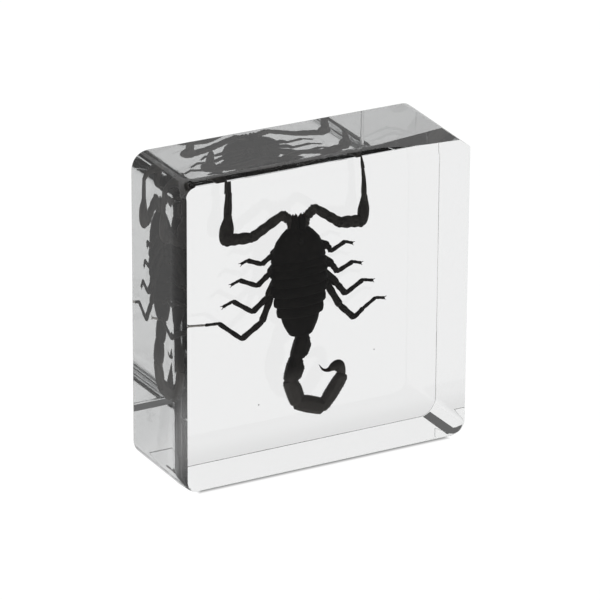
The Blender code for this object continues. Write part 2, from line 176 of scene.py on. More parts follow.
# Ridges and furrows round the trunk: where (-90 is the middle of the back), how wide, and how high
CARAPACE_RELIEF = ((-90, 5, -0.22), (-78, 6, 0.10), (-102, 6, 0.10), (-58, 8, -0.12), (-122, 8, -0.12))
PLATE_RELIEF = (
    (-90, 4, 0.16),
    (-55, 5, 0.10),
    (-125, 5, 0.10),
    (16, 7, -0.30),
    (164, 7, -0.30),
    (90, 30, -0.15),
)

# The jaws: how far apart and where they start, how high each cross-section lies and half its width, how
# much they lean inwards, and how much deeper than wide they are
JAW_SPACING = 1.05
JAW_ROOT = (4.6, 55.2)
JAW_STEPS = ((0.0, 0.9), (0.4, 1.15), (1.6, 1.22), (2.8, 1.15), (3.7, 0.86), (4.2, 0.4))
JAW_LEAN = 0.03
JAW_DEPTH = 1.2
# A jaw's two fingers: how far each stands to the side and its tip leans, the share of that step that its
# bend adds, where its base lies on the jaw and its bend and tip past that (Y, Z), and half the width and
# depth at these three
JAW_FINGERS = ((0.42, -0.175), (-0.42, 0.1225))
JAW_FINGER_FLARE = 0.25
JAW_FINGER_BASE = (-0.3, 3.4)
JAW_FINGER_BEND = (-0.2, 0.7)
JAW_FINGER_TIP = (-0.25, 1.35)
JAW_FINGER_SIZES = ((0.42, 0.5), (0.34, 0.36), (0.08, 0.1))
# The hump of the middle eyes: its drop below the front edge, its distance from the trunk's middle, its
# radius and shape, then where the eyes lie on it and their radius
HUMP_DROP = 3.0
HUMP_OUT = 3.1
HUMP_RADIUS = 0.75
HUMP_SQUASH = (0.8, 0.5, 1.3)
EYE_PLACE = (0.42, -0.22, 0.1)
EYE_RADIUS = 0.26
# The side eyes: their number, the first one's drop and distance from the middle, and the next one's steps
SIDE_EYES = 3
SIDE_EYE_DROP = 0.5
SIDE_EYE_STEP_DOWN = 0.42
SIDE_EYE_X = 2.95
SIDE_EYE_STEP_OUT = 0.4
SIDE_EYE_Y = -1.0
SIDE_EYE_RADIUS = 0.17

# The breathing slits: the first of their plates and the one after the last, their places as shares of the
# plate's half sizes, their radius and shape
SLIT_PLATES = (2, 6)
SLIT_X_SHARE = 0.62
SLIT_Y_SHARE = 0.66
SLIT_RADIUS = 0.45
SLIT_SQUASH = (1.2, 0.5, 0.35)
# The small plate between the last legs
STERNUM_RISE = 1.2
STERNUM_OUT = 3.1
STERNUM_RADIUS = 0.9
STERNUM_SQUASH = (0.8, 0.45, 1.0)
# The combs on the belly: where an arm starts, how far it reaches and bows, its thickness, and its teeth
COMB_ROOT_Z = 46.5
COMB_ROOT = (0.6, 3.3, 0.0)
COMB_REACH = (4.8, -0.5, -3.6)
COMB_BOW = (0.5, 0.1, 0.5)
COMB_STEPS = 9
COMB_HALF_WIDTH = 0.45
COMB_TAPER = 0.02
COMB_HALF_DEPTH = 0.3
COMB_TEETH = 16
COMB_TOOTH_AIM = (-0.3, 0.1, -1.0)
COMB_TOOTH_LENGTH = 1.15 * MM
COMB_TOOTH_RADIUS = 0.17 * MM
# Crumbs of shell that came loose in the resin: each one's place and radius
CRUMBS = (((24.0, 3.0, 71.0), 0.16), ((17.5, 3.0, 22.5), 0.16), ((-13.0, 3.0, 14.5), 0.18))
CRUMB_SQUASH = (1.0, 0.7, 0.8)

# One tail segment: its length, heading, half its height at the ends, its reach to the curl's inner and
# outer side, and half its width. The tail lies on its side
TailSegment = namedtuple("TailSegment", "length heading end inner outer half_width")
TAIL = (
    TailSegment(5.8, -108, 1.40, 3.00, 1.60, 2.0),
    TailSegment(5.8, -106, 1.40, 2.95, 1.75, 2.0),
    TailSegment(6.2, -70, 1.65, 2.25, 1.80, 1.9),
    TailSegment(7.2, -20, 1.75, 2.15, 2.00, 1.8),
    TailSegment(8.9, 54, 1.35, 1.75, 1.80, 1.7),
)
TAIL_SIDES = 40
TAIL_RINGS = 22
# How full a tail segment is at each share of its length, from the drawn-in ends to its belly, what is
# left of its width there, and how its very ends close
TAIL_FULLNESS = (
    (-0.08, 0.0), (0.0, 0.25), (0.10, 0.45), (0.40, 1.0), (0.75, 0.9), (0.92, 0.5), (0.98, 0.3),
    (1.04, 0.0),
)
TAIL_LEAST_WIDTH = 0.82
TAIL_CLOSED_BELOW = 0.02
TAIL_CLOSING = 0.8
# The tail's keels: where they run round a segment, with their width and height, then between which shares
# of its length they stand, and the same for the teeth on them
TAIL_KEELS = tuple((place, 7, 0.14) for place in (22, 62, 118, 158, 205, 245, 295, 335))
KEEL_FROM = 0.03
KEEL_TO = 0.97
KEEL_TEETH = 9
KEEL_TEETH_FROM = 0.08
KEEL_TEETH_SPAN = 0.86
KEEL_TOOTH_SUNK = 0.05
KEEL_TOOTH_LEAN = 0.45
# The sting's bulb and point: where each cross-section lies and its radius, and which one starts the point
STING_STEPS = (
    (9.35, 16.9, 0.55),
    (9.4, 17.3, 0.85),
    (9.3, 18.4, 1.10),
    (8.5, 19.8, 1.50),
    (7.3, 19.9, 1.20),
    (6.2, 19.4, 0.70),
    (5.2, 19.3, 0.42),
    (4.2, 19.8, 0.26),
    (3.3, 21.1, 0.06),
)
STING_POINT = 5

# The numbers of a skin's finishes
SHELL = 0
TIP = 1
EYE = 2
PALE = 3

# A limb is made of runs. Each is one segment: its length, its heading, its step towards the back face and
# its radius
Run = namedtuple("Run", "length heading step radius")
# A pincer: its root, its arm, its hand, its fixed and movable finger, each with one bend, then half the
# gap between the fingers and how far they bow apart (X, Y)
Pincer = namedtuple("Pincer", "root arm hand fingers gap bow")
PINCERS = (
    Pincer(
        (-3.9, 4.8, 56.2),
        (
            Run(2.3, 104, 0.0, 0.95),
            Run(2.5, 142, 0.2, 1.10),
            Run(8.6, -150, 1.0, 1.12),
            Run(6.4, 179, 1.6, 1.30),
        ),
        Run(6.0, 83, 0.2, 1.75),
        (
            (Run(5.2, 87, 0.0, 0.66), Run(5.4, 87, 0.0, 0.56)),
            (Run(5.0, 87, 0.0, 0.62), Run(5.2, 89, 0.0, 0.52)),
        ),
        (0.32, 0.0),
        (0.08, 0.0),
    ),
    Pincer(
        (-0.5, 4.8, 56.2),
        (
            Run(2.4, 82, 0.0, 0.95),
            Run(2.8, 36, 0.2, 1.15),
            Run(8.4, -36, 1.0, 1.05),
            Run(6.7, -9, 1.6, 1.35),
        ),
        Run(6.1, 86, 0.2, 1.45),
        (
            (Run(5.0, 91, -0.2, 0.58), Run(5.4, 97, 0.3, 0.45)),
            (Run(5.0, 91, 0.2, 0.52), Run(5.2, 95, -0.3, 0.40)),
        ),
        (0.1, 0.5),
        (0.0, 0.2),
    ),
)
# An arm's first two segments are smooth. The others have ridges, and rows of teeth at two places round them
ARM_SMOOTH = 2
ARM_SIDES = 24
HAND_SIDES = 28
ARM_RIDGES = tuple((place, 9, 0.10) for place in (45, 135, 200, 270, 340))
ARM_TEETH = 12
ARM_TEETH_PLACES = (90, -90)
ARM_TEETH_FROM = 0.1
ARM_TEETH_SPAN = 0.8
ARM_TEETH_OUT = 0.969
# Where a finger leaves the hand, its radii from base to tip, and the teeth on its inner side
FINGER_FROM = 0.8
FINGER_SHAPE = (1.0, 1.02, 1.05, 0.85)
FINGER_TIP_RADIUS = 0.1
FINGER_STEPS = 100
FINGER_TEETH = 22
FINGER_TEETH_FROM = 0.3
FINGER_TEETH_SPAN = 0.66
FINGER_TEETH_OUT = 0.9

# Legs: a root under the carapace, the knee at the trunk's side, the visible segments, and the foot's finish
Leg = namedtuple("Leg", "root knee runs foot")
LEGS = (
    Leg(
        (-5.2, 52.6),
        (-8.7, 50.4),
        (Run(3.2, -147, 0.0, 0.66), Run(3.9, 158, 0.6, 0.56), Run(1.5, -150, 0.8, 0.36)),
        SHELL,
    ),
    Leg(
        (-5.4, 50.4),
        (-9.4, 46.0),
        (Run(4.0, -142, 0.0, 0.70), Run(4.9, 155, 0.6, 0.56), Run(2.1, -153, 0.8, 0.36)),
        SHELL,
    ),
    Leg(
        (-5.4, 48.2),
        (-9.8, 40.3),
        (Run(5.0, -143, 0.0, 0.76), Run(6.0, 145, 0.6, 0.58), Run(2.6, -155, 0.8, 0.38)),
        SHELL,
    ),
    Leg(
        (-5.2, 46.0),
        (-9.0, 40.2),
        (
            Run(6.3, -112, 0.0, 0.86),
            Run(6.1, -146, 0.6, 0.76),
            Run(7.6, 140, 0.4, 0.56),
            Run(3.5, 176, 0.1, 0.36),
            Run(4.3, 173, 0.1, 0.27),
        ),
        PALE,
    ),
    Leg(
        (0.8, 52.6),
        (5.9, 50.0),
        (Run(1.6, -62, 0.0, 0.66), Run(4.2, 22, 0.6, 0.54), Run(2.4, -23, 0.8, 0.36)),
        SHELL,
    ),
    Leg(
        (1.0, 50.4),
        (7.0, 45.2),
        (Run(2.4, -56, 0.0, 0.70), Run(4.6, 20, 0.6, 0.56), Run(2.6, -21, 0.8, 0.36)),
        SHELL,
    ),
    Leg(
        (1.0, 48.2),
        (8.3, 40.2),
        (Run(3.7, -52, 0.0, 0.76), Run(5.4, 27, 0.6, 0.58), Run(3.0, -16, 0.8, 0.38)),
        SHELL,
    ),
    Leg(
        (0.8, 46.0),
        (5.7, 40.6),
        (
            Run(6.9, -60, 0.0, 0.86),
            Run(5.6, -45, 0.6, 0.76),
            Run(3.1, 36, 0.3, 0.58),
            Run(3.9, 31, 0.1, 0.46),
            Run(2.4, -12, 0.1, 0.36),
        ),
        SHELL,
    ),
)
LEG_ROOT_Y = 7.4
LEG_KNEE_Y = 5.8
HIP_X = 0.9
HIP_DROP = 1.0
HIP_RADIUS = 1.25
THIGH_RADIUS = 0.95
LEG_SIDES = 14
LEG_RIDGES = ((90, 20, 0.05), (-90, 20, 0.05))
# A claw: the step to its base and its two halves, each as its length, its turn off the foot's heading and
# its step towards the back face, then its radii
CLAW_RUNS = ((0.1, 110, 0.0), (0.4, 42, 0.05), (0.4, 12, 0.1))
CLAW_RADII = (0.15, 0.1, 0.03)

# How thick a segment is along its length: the share of its length, and the share of its radius there
LEG_SHAPE = (
    (-0.06, 0.5), (0.0, 0.85), (0.1, 0.98), (0.3, 1.10), (0.5, 0.96), (0.7, 1.0), (0.88, 1.10),
    (0.97, 0.95), (1.04, 0.5),
)
ARM_SHAPE = (
    (-0.10, 0.5), (-0.02, 0.92), (0.08, 0.90), (0.2, 1.02), (0.35, 1.10), (0.5, 0.98), (0.65, 1.12),
    (0.8, 1.02), (0.93, 1.18), (1.03, 0.95), (1.11, 0.45),
)
HAND_SHAPE = (
    (-0.20, 0.30), (-0.14, 0.58), (-0.04, 0.80), (0.10, 0.94), (0.28, 1.0), (0.48, 0.98),
    (0.66, 0.82), (0.86, 0.60), (1.0, 0.48), (1.06, 0.25),
)
# No form gets thinner than this
THINNEST = 0.02 * MM
# A ball's rows from pole to pole, and the points on each
BALL_RINGS = 8
BALL_SIDES = 12

# What grows on the skins: how small and large a copy may be against the full size, then its form. A
# tooth's radius is a share of its length
TOOTH_SIZES = (0.7, 1.2)
TOOTH_SIDES = 7
TOOTH_TIP = 0.01 * MM
TOOTH_RADIUS_SHARE = 0.4
GRAIN_SIZES = (0.5, 1.25)
GRAIN_ROUNDNESS = 2
BRISTLE_SIZES = (0.5, 1.0)
BRISTLE_SIDES = 5
BRISTLE_TIP = 0.004 * MM
BRISTLE_ROOT = 0.025 * MM
# A bristle leans by up to the first two turns, and is then turned by up to the third, in radians
BRISTLE_LEAST_TURNS = (-0.7, -0.7, 0.0)
BRISTLE_MOST_TURNS = (0.7, 0.7, 6.2)

# Shell sunk in resin shines far less than in air
SUNK_GLOSS = 0.06
# The shells: their dark and light tones, how rough they are, and the paler tone of the tail's lowest part
SHELLS = {
    "trunk_shell": ((0.006, 0.0055, 0.005), (0.014, 0.012, 0.010), 0.42),
    "limb_shell": ((0.014, 0.013, 0.012), (0.045, 0.040, 0.036), 0.38),
    "pincer_shell": ((0.025, 0.023, 0.021), (0.090, 0.082, 0.074), 0.38),
    "tail_shell": ((0.012, 0.011, 0.010), (0.030, 0.027, 0.024), 0.38, (0.12, 0.112, 0.104)),
    "pale_shell": ((0.50, 0.47, 0.43), (0.75, 0.72, 0.68), 0.4),
}
# How fine a shell's blotches, its fine mottling and its pits are, and how deep its relief is
BLOTCH_SCALE = 420.0
MOTTLE_SCALE = 2600.0
PIT_SCALE = 3400.0
PIT_DEPTH = 0.06 * MM
# The tail's shell is paler in the lowest part of its curl
LOWER_TONE_BELOW = 17 * MM
SHELL_TONE_ABOVE = 23 * MM
# Streaked finishes: how fine the streaks are and their detail, the two tones, how rough they are at least
# and how much rougher at most, and how much they shine
STREAKED = {
    "hard_tips": (1500.0, 4.0, (0.030, 0.016, 0.010), (0.012, 0.007, 0.005), 0.3, 0.2, SUNK_GLOSS),
    "eyes": (6000.0, 2.0, (0.004, 0.004, 0.005), (0.012, 0.010, 0.010), 0.1, 0.1, 0.3),
    "bristles": (900.0, 2.0, (0.05, 0.03, 0.02), (0.015, 0.010, 0.008), 0.45, 0.2, SUNK_GLOSS),
}


class BlockSettings(bpy.types.PropertyGroup):
    corner_steps: bpy.props.IntProperty(
        name="Corner steps",
        description="How many flats make up each rounded corner",
        default=40,
        min=2,
    )
    edge_steps: bpy.props.IntProperty(
        name="Edge steps",
        description="How many flats make up each rolled rim",
        default=24,
        min=2,
    )
    tint: bpy.props.FloatVectorProperty(
        name="Tint",
        description="Colour that light takes on in the resin",
        subtype="COLOR",
        default=(0.49, 0.5, 0.5),
    )
    density: bpy.props.FloatProperty(
        name="Density",
        description="How strongly the resin holds light back along each metre",
        default=12.0,
    )
    bending: bpy.props.FloatProperty(
        name="Refractive index",
        description="How strongly the resin bends light",
        default=1.55,
        min=1.0,
    )


class SkinSettings(bpy.types.PropertyGroup):
    grain_radius: bpy.props.FloatProperty(
        name="Grain radius",
        description="Size of the small grains on the back",
        default=0.085 * MM,
        unit="LENGTH",
    )
    grain_density: bpy.props.FloatProperty(
        name="Grain density",
        description="Grains on each square metre of skin",
        default=1.6e6,
    )
    tooth_length: bpy.props.FloatProperty(
        name="Tooth length",
        description="Height of the teeth along the keels and fingers",
        default=0.22 * MM,
        unit="LENGTH",
    )
    bristle_length: bpy.props.FloatProperty(
        name="Bristle length",
        description="Length of the longest bristles",
        default=0.45 * MM,
        unit="LENGTH",
    )
    bristle_density: bpy.props.FloatProperty(
        name="Bristle density",
        description="Bristles on each square metre of skin",
        default=0.5e6,
    )
    seed: bpy.props.IntProperty(
        name="Seed",
        description="Fixes where the grains and bristles fall",
        default=7,
    )


class StudioSettings(bpy.types.PropertyGroup):
    floor_size: bpy.props.FloatProperty(
        name="Floor size",
        description="Width of the white table",
        default=6.0,
        unit="LENGTH",
    )
    wall_height: bpy.props.FloatProperty(
        name="Backdrop height",
        description="How far the white paper runs up behind the block",
        default=1.1,
        unit="LENGTH",
    )
    glow_through: bpy.props.FloatProperty(
        name="Glow through the block",
        description="Brightness of the paper seen through the resin",
        default=1.05,
    )
    glow_mirrored: bpy.props.FloatProperty(
        name="Mirrored glow",
        description="Brightness of the paper mirrored by the block's outside",
        default=0.5,
    )
    room_glow: bpy.props.FloatProperty(
        name="Room glow",
        description="Brightness of the room above the paper",
        default=0.15,
    )
    lamp_power: bpy.props.FloatProperty(
        name="Lamp power",
        description="Power of the main softbox",
        default=1.0,
        unit="POWER",
    )


def pick(sockets, key):
    """The socket with that name, or with that inner name where several are called the same."""
    if isinstance(key, int):
        return sockets[key]
    return next(socket for socket in sockets if key in (socket.identifier, socket.name))


def feed(tree, slot, value):
    """Sets a socket, or links it where the value comes from another node."""
    if isinstance(value, Value):
        value = value.socket
    if isinstance(value, bpy.types.NodeSocket):
        tree.links.new(value, slot)
    else:
        slot.default_value = value


def new_node(tree, kind, settings=None, inputs=None):
    """Adds a node: its settings first, then the values or links of its sockets."""
    made = tree.nodes.new(kind)
    for name, value in (settings or {}).items():
        setattr(made, name, value)
    for name, value in (inputs or {}).items():
        feed(tree, pick(made.inputs, name), value)
    return made


class Value:
    """A shader socket that can stand in a sum: each operator adds its own Math node."""

    def __init__(self, tree, socket):
        self.tree = tree
        self.socket = socket

    def math(self, operation, *others):
        """The outcome of one Math node that takes this value first."""
        made = new_node(self.tree, "ShaderNodeMath", {"operation": operation})
        for slot, value in zip(made.inputs, (self, *others)):
            feed(self.tree, slot, value)
        return Value(self.tree, made.outputs[0])

    def __add__(self, other):
        return self.math("ADD", other)

    def __radd__(self, other):
        return self.math("ADD", other)

    def __sub__(self, other):
        return self.math("SUBTRACT", other)

    def __rsub__(self, other):
        return self.math("MULTIPLY_ADD", -1.0, other)

    def __mul__(self, other):
        return self.math("MULTIPLY", other)

    def __rmul__(self, other):
        return self.math("MULTIPLY", other)


class Finish:
    """A material under construction, or the air of the room. Every node comes from its node method."""

    def __init__(self, made, shader="Principled BSDF", output="Material Output"):
        made.use_nodes = True
        self.made = made
        self.tree = made.node_tree
        self.shader = self.tree.nodes[shader]
        self.output = self.tree.nodes[output]

    def node(self, kind, settings=None, inputs=None, output=0):
        """Adds a node and gives the value of one of its outputs."""
        return Value(self.tree, pick(new_node(self.tree, kind, settings, inputs).outputs, output))

    def noise(self, place, scale, detail):
        """A soft noise over the surface: a larger scale is finer."""
        return self.node("ShaderNodeTexNoise", None, {"Vector": place, "Scale": scale, "Detail": detail})

    def mixed(self, share, first, second):
        """The first colour, or the second one where the share is 1."""
        inputs = {"Factor_Float": share, "A_Color": first, "B_Color": second}
        return self.node("ShaderNodeMix", {"data_type": "RGBA"}, inputs, "Result_Color")

    def ramp(self, value, start, end, first, last, way="SMOOTHSTEP"):
        """Runs from the first number to the last while the value goes from start to end."""
        inputs = {"Value": value, "From Min": start, "From Max": end, "To Min": first, "To Max": last}
        return self.node("ShaderNodeMapRange", {"interpolation_type": way}, inputs)

    def set(self, **values):
        """Sets the shader's own sockets: underscores stand for the spaces in their names."""
        for name, value in values.items():
            feed(self.tree, self.shader.inputs[name.replace("_", " ")], value)


def placed(name, data):
    """A new object in the scene."""
    obj = bpy.data.objects.new(name, data)
    bpy.context.scene.collection.objects.link(obj)
    return obj


def new_object(name, bm, finishes=()):
    """A new object with the mesh under construction and its finishes."""
    mesh = bpy.data.meshes.new(name)
    bm.to_mesh(mesh)
    bm.free()
    for finish in finishes:
        mesh.materials.append(finish)
    return placed(name, mesh)


def baked(obj):
    """Replaces an object by the plain mesh that its modifiers make."""
    graph = bpy.context.evaluated_depsgraph_get()
    mesh = bpy.data.meshes.new_from_object(obj.evaluated_get(graph), depsgraph=graph)
    obj.modifiers.clear()
    obj.data = mesh
    return obj


def rounded_outline(half_width, half_height, radii, steps):
    """Points round a rectangle, about its middle: each of its corners is an arc with a radius of its own."""
    outline = []
    corners = ((1, 1, 0), (-1, 1, 90), (-1, -1, 180), (1, -1, 270))
    for (side_x, side_z, first), radius in zip(corners, radii):
        for i in range(steps + 1):
            turn = radians(first + 90 * i / steps)
            x = side_x * (half_width - radius) + radius * cos(turn)
            z = side_z * (half_height - radius) + radius * sin(turn)
            outline.append((x, z))
    return outline


def rim_inset(level, reach, depth):
    """How far a rim has drawn in at a level below the face: an arc that runs smoothly into the side."""
    if level >= depth:
        return 0.0
    radius = (reach**2 + depth**2) / (2 * reach)
    return radius - max(radius**2 - (depth - level) ** 2, 0.0) ** 0.5


def rim_rings(settings):
    """The block's outlines from front to back: how far each has drawn in, its corners and its depth."""
    rings = []
    for rim, inner_radii, side in ((FRONT_RIM, FRONT_RADII, -1), (BACK_RIM, BACK_RADII, 1)):
        deepest = max(depth for _, depth in rim)
        rows = []
        for i in range(settings.edge_steps + 1):
            level = deepest * (1 - cos(radians(90 * i / settings.edge_steps)))
            insets = [rim_inset(level, *sizes) for sizes in rim]
            share = sum(insets) / sum(reach for reach, _ in rim)
            radii = [CORNER_RADIUS + share * (inner - CORNER_RADIUS) for inner in inner_radii]
            rows.append((insets, radii, side * (BLOCK_SIZE.y / 2 - level)))
        rings += rows[::-side]
    return rings


def block_mesh(name, settings):
    """The polished block: a rounded outline run from front to back, with both rims rolled over."""
    half = BLOCK_SIZE / 2
    bm = bmesh.new()
    rows = []
    for (right, top, left, bottom), radii, y in rim_rings(settings):
        middle = BLOCK_MIDDLE + Vector(((left - right) / 2, y, (bottom - top) / 2))
        sizes = (half.x - (left + right) / 2, half.z - (top + bottom) / 2)
        outline = rounded_outline(*sizes, radii, settings.corner_steps)
        rows.append([bm.verts.new(middle + Vector((x, 0, z))) for x, z in outline])
    count = len(rows[0])
    for front, back in zip(rows, rows[1:]):
        for i in range(count):
            j = (i + 1) % count
            bm.faces.new((front[i], back[i], back[j], front[j]))
    bm.faces.new(rows[0])
    bm.faces.new(rows[-1][::-1])
    for facet in FACETS:
        cut_facet(bm, facet)
    for face in bm.faces:
        face.smooth = True
    obj = new_object(name, bm)
    obj.data.set_sharp_from_angle(angle=radians(SHARP_DEGREES))
    weighted = obj.modifiers.new("flat faces stay flat", "WEIGHTED_NORMAL")
    weighted.keep_sharp = True
    return baked(obj)


def cut_facet(bm, facet):
    """Grinds a flat facet on the top, through three places."""
    start, back, low = (BLOCK_MIDDLE + Vector(place) * MM for place in facet)
    normal = (back - start).cross(low - start).normalized()
    if normal.z < 0:
        normal = -normal
    geometry = bm.verts[:] + bm.edges[:] + bm.faces[:]
    bmesh.ops.bisect_plane(bm, geom=geometry, plane_co=start, plane_no=normal, clear_outer=True)
    rim = [edge for edge in bm.edges if edge.is_boundary]
    bmesh.ops.contextual_create(bm, geom=rim)


class Skin:
    """Gathers the closed forms of one piece: each face keeps the number of its finish."""

    def __init__(self):
        self.bm = bmesh.new()
        self.guides = []

    def loft(self, rings, finish=SHELL):
        """A closed smooth form through rings of points; both ends close on a pole."""
        rows = [[self.bm.verts.new(point) for point in ring] for ring in rings]
        count = len(rows[0])
        faces = []
        for lower, upper in zip(rows, rows[1:]):
            for i in range(count):
                j = (i + 1) % count
                faces.append(self.bm.faces.new((lower[i], lower[j], upper[j], upper[i])))
        for row, turned in ((rows[0], True), (rows[-1], False)):
            pole = self.bm.verts.new(sum((vert.co for vert in row), Vector()) / count)
            for i in range(count):
                j = (i + 1) % count
                corners = (row[j], row[i], pole) if turned else (row[i], row[j], pole)
                faces.append(self.bm.faces.new(corners))
        bmesh.ops.recalc_face_normals(self.bm, faces=faces)
        for face in faces:
            face.material_index = finish
            face.smooth = True

    def tube(self, controls, rings, sides, relief=(), finish=SHELL):
        """A form along control points, each with its half width and half depth, all in metres."""
        track = eased(controls, rings)
        rows = []
        for i, (place, wide, deep) in enumerate(track):
            direction = track[min(i + 1, len(track) - 1)][0] - track[max(i - 1, 0)][0]
            rows.append(cross_section(place, direction, wide, wide, deep, sides, relief))
        self.loft(rows, finish)

    def segment(self, start, end, radius, shape, sides, relief=(), finish=SHELL):
        """One limb segment whose thickness follows a shape."""
        places = [start.lerp(end, share) for share, _ in shape]
        controls = rounded(places, [radius * thickness for _, thickness in shape])
        self.tube(controls, 3 * len(shape), sides, relief, finish)

    def ball(self, middle, radius, finish=SHELL, squash=(1.0, 1.0, 1.0)):
        """A ball, squashed along X, Y and Z."""
        rings = []
        for i in range(1, BALL_RINGS):
            tilt = pi * i / BALL_RINGS
            ring = []
            for j in range(BALL_SIDES):
                turn = 2 * pi * j / BALL_SIDES
                offset = Vector((sin(tilt) * cos(turn), sin(tilt) * sin(turn), cos(tilt)))
                ring.append(middle + Vector(a * b for a, b in zip(offset, squash)) * (radius * MM))
            rings.append(ring)
        self.loft(rings, finish)


def rounded(places, radii):
    """The control points of a round form, each with a radius in mm."""
    return [(place, radius * MM, radius * MM) for place, radius in zip(places, radii)]


def eased(controls, count):
    """Places along a soft curve through the control points; each is a point and two sizes."""
    track = []
    last = len(controls) - 1
    for i in range(count + 1):
        place = last * i / count
        k = min(int(place), last - 1)
        t = place - k
        near = [controls[min(max(k + step, 0), last)] for step in (-1, 0, 1, 2)]
        weights = (
            -0.5 * t + t**2 - 0.5 * t**3,
            1 - 2.5 * t**2 + 1.5 * t**3,
            0.5 * t + 2 * t**2 - 1.5 * t**3,
            -0.5 * t**2 + 0.5 * t**3,
        )
        point = sum((weight * control[0] for weight, control in zip(weights, near)), Vector())
        sizes = [max(sum(w * c[n] for w, c in zip(weights, near)), THINNEST) for n in (1, 2)]
        track.append((point, *sizes))
    return track


def at(x, y, z):
    """A place given in millimetres."""
    return Vector((x, y, z)) * MM


def beside(side, place):
    """A place in millimetres, given for the right side: -1 mirrors it to the left."""
    x, y, z = place
    return at(side * x, y, z)


def axis_point(z):
    """The middle of the trunk at a height in mm."""
    share = (CARAPACE_TOP - z) / (CARAPACE_TOP - TAIL_ROOT[1])
    return at(HEAD_X + share * (RUMP_X - HEAD_X), BODY_Y, z)


def stepped(start, run):
    """The place that a limb's segment reaches."""
    angle = radians(run.heading)
    return start + at(run.length * cos(angle), run.step, run.length * sin(angle))


def relief_at(relief, place):
    """How far the ridges and furrows raise the skin at an angle, in metres."""
    height = 0.0
    for middle, width, peak in relief:
        off = (place - middle + 180) % 360 - 180
        height += peak * MM * exp(-((off / width) ** 2))
    return height


def crossing(direction):
    """The two ways across a limb: to the left of its heading, and towards the back face."""
    ahead = direction.normalized()
    deep = (Vector((0, 1, 0)) - ahead * ahead.y).normalized()
    return ahead.cross(deep), deep


def cross_section(centre, direction, inner, outer, half_depth, sides, relief=()):
    """An oval across a limb: inner and outer are its reach to the left and right of its heading."""
    across, deep = crossing(direction)
    ring = []
    for i in range(sides):
        turn = 2 * pi * (i + 0.5) / sides
        reach = inner if cos(turn) > 0 else outer
        raised = 1 + relief_at(relief, degrees(turn)) / max(reach, half_depth)
        ring.append(centre + (across * (reach * cos(turn)) + deep * (half_depth * sin(turn))) * raised)
    return ring


def trunk_section(z, half_width, half_depth, relief, stands_out=0.0):
    """A level cross-section of the trunk: flatter on the belly, arched on the back."""
    middle = axis_point(z)
    ring = []
    for i in range(TRUNK_SIDES):
        turn = 2 * pi * (i + 0.5) / TRUNK_SIDES
        share = 2 * (BACK_SHARE if sin(turn) < 0 else 1 - BACK_SHARE)
        raised = relief_at(relief, degrees(turn))
        wide = (half_width + stands_out) * MM + raised
        deep = (half_depth + stands_out) * MM + raised
        ring.append(middle + Vector((wide * cos(turn), deep * share * sin(turn), 0)))
    return ring


def add_trunk(skin):
    """The carapace and the seven back plates, which overlap."""
    rings = []
    for low, high in zip(CARAPACE, CARAPACE[1:]):
        for i in range(CARAPACE_STEPS):
            drop, half_width, half_depth = (a + (b - a) * i / CARAPACE_STEPS for a, b in zip(low, high))
            rings.append(trunk_section(CARAPACE_TOP - drop, half_width, half_depth, CARAPACE_RELIEF))
    z = CARAPACE_TOP - CARAPACE[-1][0]
    before = CARAPACE[-1][1:]
    for length, *sizes in BACK_PLATES:
        for share, reached, stands_out in PLATE_SHAPE:
            half_width, half_depth = (a + (b - a) * reached for a, b in zip(before, sizes))
            rings.append(trunk_section(z - length * share, half_width, half_depth, PLATE_RELIEF, stands_out))
        z -= length
        before = sizes
    skin.loft(rings)


def add_head(skin):
    """The jaws with their short fingers, the eye hump and the small side eyes."""
    for side in (-1, 1):
        root = at(HEAD_X + side * JAW_SPACING, *JAW_ROOT)
        controls = []
        for rise, wide in JAW_STEPS:
            controls.append((root + at(-JAW_LEAN * side * rise, 0, rise), wide * MM, JAW_DEPTH * wide * MM))
        skin.tube(controls, rings=18, sides=18)
        for step, lean in JAW_FINGERS:
            base = root + at(step, *JAW_FINGER_BASE)
            bend = base + at(JAW_FINGER_FLARE * step, *JAW_FINGER_BEND)
            tip = base + at(lean, *JAW_FINGER_TIP)
            sizes = zip((base, bend, tip), JAW_FINGER_SIZES)
            controls = [(place, wide * MM, deep * MM) for place, (wide, deep) in sizes]
            skin.tube(controls, rings=8, sides=10, finish=TIP)
    hump = axis_point(CARAPACE_TOP - HUMP_DROP) - at(0, HUMP_OUT, 0)
    skin.ball(hump, HUMP_RADIUS, squash=HUMP_SQUASH)
    for side in (-1, 1):
        skin.ball(hump + beside(side, EYE_PLACE), EYE_RADIUS, EYE)
        for i in range(SIDE_EYES):
            middle = axis_point(CARAPACE_TOP - SIDE_EYE_DROP - SIDE_EYE_STEP_DOWN * i)
            off = at(side * (SIDE_EYE_X + SIDE_EYE_STEP_OUT * i), SIDE_EYE_Y, 0)
            skin.ball(middle + off, SIDE_EYE_RADIUS, EYE)


def add_belly(skin):
    """The breathing slits, the small plate between the last legs, and the arms of the two combs."""
    first, last = SLIT_PLATES
    z = CARAPACE_TOP - CARAPACE[-1][0] - sum(plate[0] for plate in BACK_PLATES[:first])
    for length, half_width, half_depth in BACK_PLATES[first:last]:
        z -= length
        for side in (-1, 1):
            off = at(side * SLIT_X_SHARE * half_width, SLIT_Y_SHARE * half_depth, 0)
            skin.ball(axis_point(z + 0.5 * length) + off, SLIT_RADIUS, TIP, SLIT_SQUASH)
    sternum = axis_point(COMB_ROOT_Z + STERNUM_RISE) + at(0, STERNUM_OUT, 0)
    skin.ball(sternum, STERNUM_RADIUS, squash=STERNUM_SQUASH)
    for side in (-1, 1):
        controls = []
        for i, place in enumerate(comb_line(side, COMB_STEPS)):
            controls.append((place, (COMB_HALF_WIDTH - COMB_TAPER * i) * MM, COMB_HALF_DEPTH * MM))
        skin.tube(controls, rings=18, sides=12)


